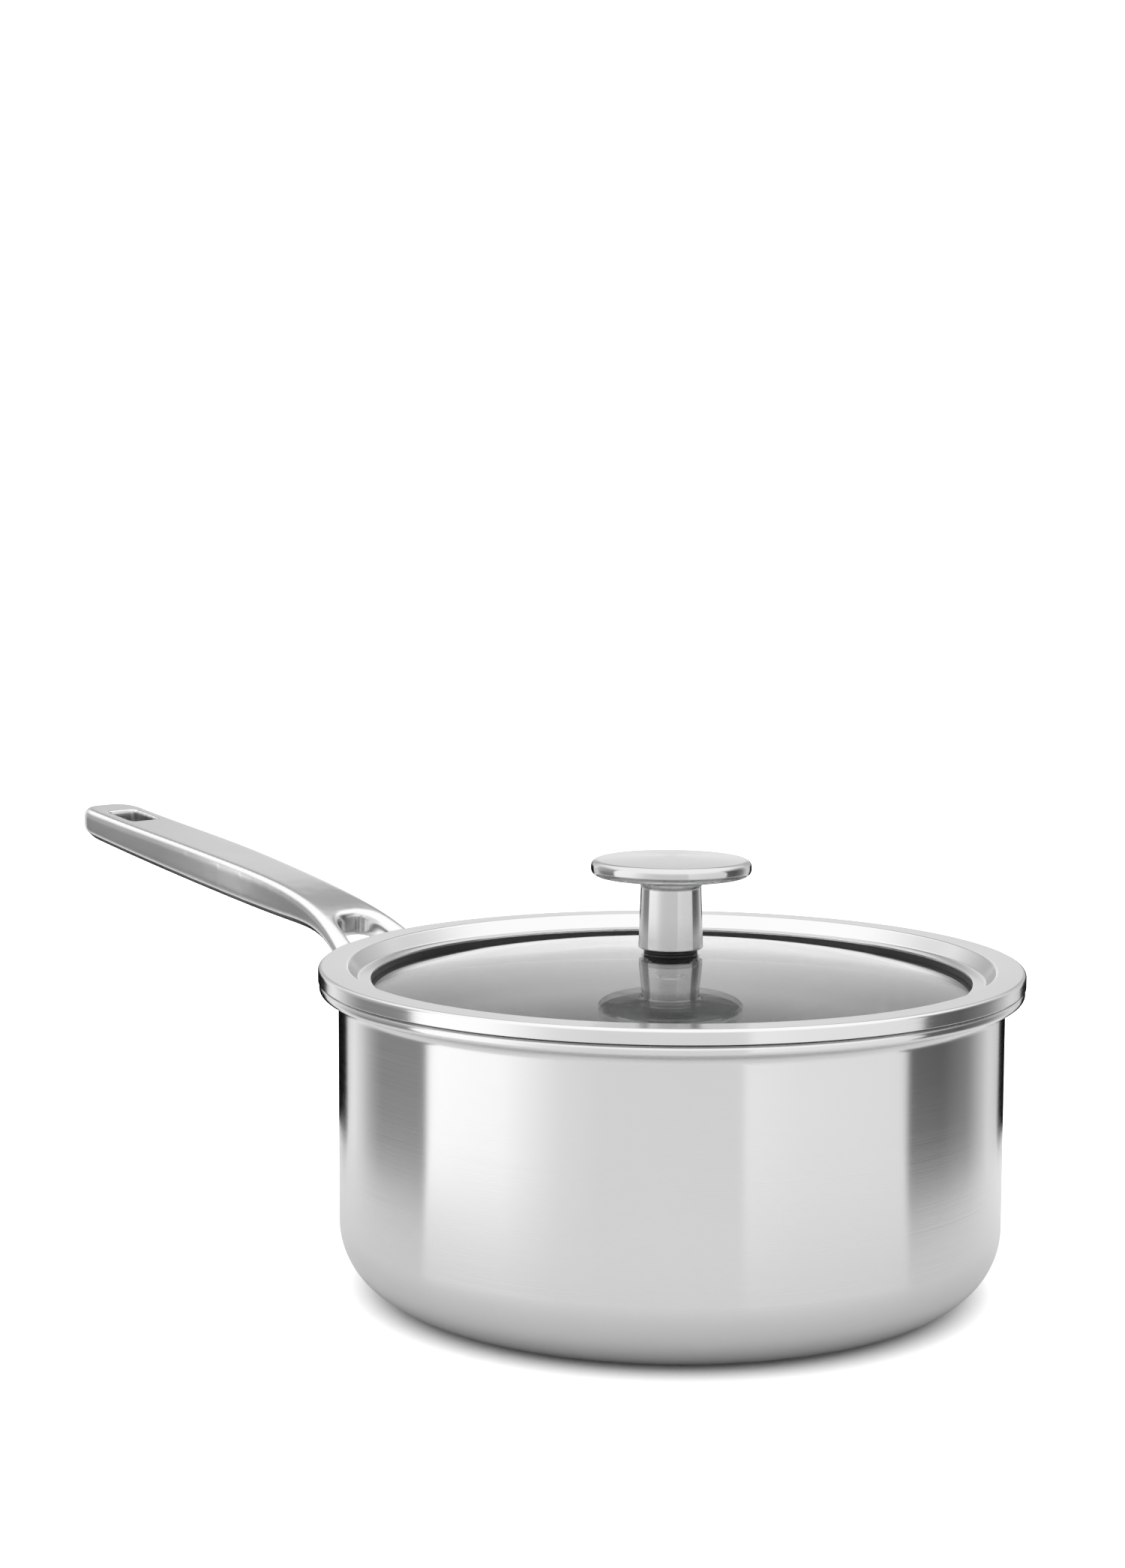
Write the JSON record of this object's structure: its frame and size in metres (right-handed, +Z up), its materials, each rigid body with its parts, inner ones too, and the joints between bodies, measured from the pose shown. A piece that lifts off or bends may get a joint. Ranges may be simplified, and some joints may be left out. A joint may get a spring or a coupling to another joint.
{
  "type": "saucepan with glass lid",
  "caption": "Straight-sided steel saucepan with a cast forked side handle and a steel-rimmed domed glass lid with a disc knob on a stem.",
  "frame": {"origin": "centre of the flat underside of the base, on the pan's axis", "axes": "+Z up along the pan's axis; the handle points along -X"},
  "size_m": [0.4147, 0.2174, 0.1339],
  "materials": {
    "outer_steel": "polished, finely brushed round the pan, with a polished bead at the rim",
    "aluminium_core": "plain rolled",
    "inner_steel": "fine satin inside",
    "cast_steel": "satin casting",
    "rivet_steel": "turned",
    "lid_steel": "satin land, polished edges",
    "knob_steel": "turned and polished",
    "black_silicone": "smooth moulded",
    "lid_glass": "clear tempered glass"
  },
  "bodies": {
    "pan": {"outer_ply": "outer_steel", "core_ply": "aluminium_core", "inner_ply": "inner_steel", "handle": "cast_steel", "handle_rivets": "rivet_steel"},
    "lid": {"lid_ring_top": "lid_steel", "lid_ring_base": "lid_steel", "lid_gasket": "black_silicone", "lid_glass": "lid_glass", "knob": "knob_steel", "knob_washer": "black_silicone", "seal_washer": "black_silicone", "steel_washer": "rivet_steel", "knob_screw": "rivet_steel"}
  },
  "joints": [
    {"name": "lid_lift", "type": "slide", "parent": "pan", "child": "lid", "axis": [0, 0, 1], "range_m": [0, 0.15]}
  ]
}
